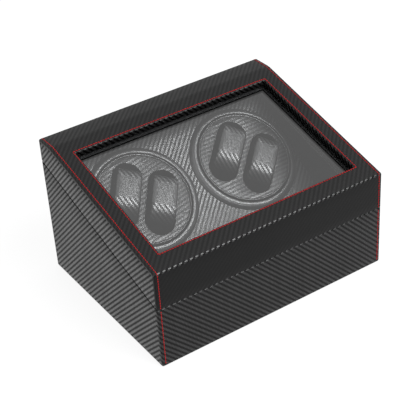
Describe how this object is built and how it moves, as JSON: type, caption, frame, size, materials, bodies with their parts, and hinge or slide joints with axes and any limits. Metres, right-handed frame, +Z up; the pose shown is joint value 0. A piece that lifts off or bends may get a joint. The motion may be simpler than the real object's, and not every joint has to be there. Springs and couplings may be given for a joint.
{
  "type": "watch winder box",
  "caption": "Slant-top leatherette case with a hinged windowed lid and geared turntables that turn self-winding watches on removable pillows.",
  "frame": {"origin": "centre of the underside footprint, on the plane the box stands on", "axes": "+Z up; -Y out of the low front; +Y out of the rear with the hinges and controls; +X to the right seen from the front"},
  "size_m": [0.33, 0.2699, 0.191],
  "materials": {
    "leatherette": "satin carbon-weave grain",
    "fibreboard": "raw",
    "felt": "matt",
    "gloss_black": "gloss",
    "black_plastic": "satin",
    "steel": "brushed",
    "nickel": "polished",
    "bronze": "machined",
    "nylon": "satin",
    "circuit_board": "satin",
    "cable": "satin",
    "clear_acrylic": "clear"
  },
  "bodies": {
    "base": {"base_front_panel": "fibreboard", "base_rear_panel": "fibreboard", "base_left_panel": "fibreboard", "base_right_panel": "fibreboard", "base_bottom_panel": "fibreboard", "base_front_cover": "leatherette", "base_left_cover": "leatherette", "base_right_cover": "leatherette", "base_rear_cover": "leatherette", "winder_deck": "leatherette", "bottom_felt_sheet": "felt", "inner_liner": "felt", "bezel_ring_left": "gloss_black", "bezel_ring_right": "gloss_black", "winder_chassis": "black_plastic", "control_plate": "black_plastic", "dc_socket": "black_plastic", "power_switch_frame": "black_plastic", "gear_motor_left": "steel", "gear_motor_right": "steel", "hinge_pin_left": "steel", "hinge_pin_right": "steel", "hinge_base_leaf_left": "nickel", "hinge_base_leaf_right": "nickel", "bearing_bush_left": "bronze", "bearing_bush_right": "bronze", "control_board": "circuit_board", "motor_lead_left": "cable", "motor_lead_right": "cable"},
    "lid": {"lid_front_rail": "fibreboard", "lid_rear_rail": "fibreboard", "lid_left_side": "fibreboard", "lid_right_side": "fibreboard", "lid_top_frame": "fibreboard", "lid_top_cover": "leatherette", "lid_left_cover": "leatherette", "lid_right_cover": "leatherette", "window_retainer": "felt", "hinge_lid_leaf_left": "nickel", "hinge_lid_leaf_right": "nickel", "window_pane": "clear_acrylic"},
    "turntable_left": {"turntable_face_left": "leatherette", "turntable_drum_left": "gloss_black", "turntable_gear_left": "nylon", "turntable_axle_left": "steel"},
    "pinion_left": {"motor_pinion_left": "nylon"},
    "pillow_left_a": {"watch_pillow_left_a": "leatherette"},
    "pillow_left_b": {"watch_pillow_left_b": "leatherette"},
    "mode_knob_left": {"mode_knob_left": "black_plastic"},
    "turntable_right": {"turntable_face_right": "leatherette", "turntable_drum_right": "gloss_black", "turntable_gear_right": "nylon", "turntable_axle_right": "steel"},
    "pinion_right": {"motor_pinion_right": "nylon"},
    "pillow_right_a": {"watch_pillow_right_a": "leatherette"},
    "pillow_right_b": {"watch_pillow_right_b": "leatherette"},
    "mode_knob_right": {"mode_knob_right": "black_plastic"},
    "power_rocker": {"power_rocker": "black_plastic"}
  },
  "joints": [
    {"name": "lid_hinge", "type": "hinge", "parent": "base", "child": "lid", "pos_m": [0, 0.1309, 0.16], "axis": [-1, 0, 0], "range_deg": [0, 100]},
    {"name": "turntable_left_spin", "type": "hinge", "parent": "base", "child": "turntable_left", "pos_m": [-0.077, 0.0382, 0.112], "axis": [0, -0.5878, 0.809], "continuous": true},
    {"name": "pinion_left_spin", "type": "hinge", "parent": "base", "child": "pinion_left", "pos_m": [-0.0319, 0.0382, 0.112], "axis": [0, -0.5878, 0.809], "continuous": true},
    {"name": "pillow_left_a_lift", "type": "slide", "parent": "turntable_left", "child": "pillow_left_a", "axis": [0, -0.5878, 0.809], "range_m": [0, 0.018]},
    {"name": "pillow_left_b_lift", "type": "slide", "parent": "turntable_left", "child": "pillow_left_b", "axis": [0, -0.5878, 0.809], "range_m": [0, 0.018]},
    {"name": "turntable_right_spin", "type": "hinge", "parent": "base", "child": "turntable_right", "pos_m": [0.077, 0.0382, 0.112], "axis": [0, -0.5878, 0.809], "continuous": true},
    {"name": "pinion_right_spin", "type": "hinge", "parent": "base", "child": "pinion_right", "pos_m": [0.0319, 0.0382, 0.112], "axis": [0, -0.5878, 0.809], "continuous": true},
    {"name": "pillow_right_a_lift", "type": "slide", "parent": "turntable_right", "child": "pillow_right_a", "axis": [0, -0.5878, 0.809], "range_m": [0, 0.018]},
    {"name": "pillow_right_b_lift", "type": "slide", "parent": "turntable_right", "child": "pillow_right_b", "axis": [0, -0.5878, 0.809], "range_m": [0, 0.018]},
    {"name": "power_rocker_tip", "type": "hinge", "parent": "base", "child": "power_rocker", "pos_m": [-0.014, 0.1292, 0.048], "axis": [1, 0, 0], "range_deg": [0, 18]},
    {"name": "mode_knob_left_turn", "type": "hinge", "parent": "base", "child": "mode_knob_left", "pos_m": [0.042, 0.129, 0.048], "axis": [0, -1, 0], "range_deg": [-135, 135]},
    {"name": "mode_knob_right_turn", "type": "hinge", "parent": "base", "child": "mode_knob_right", "pos_m": [0.016, 0.129, 0.048], "axis": [0, -1, 0], "range_deg": [-135, 135]}
  ],
  "couplings": [
    {"joint": "pinion_left_spin", "follows": "turntable_left_spin", "ratio": -4},
    {"joint": "pinion_right_spin", "follows": "turntable_right_spin", "ratio": -4}
  ]
}
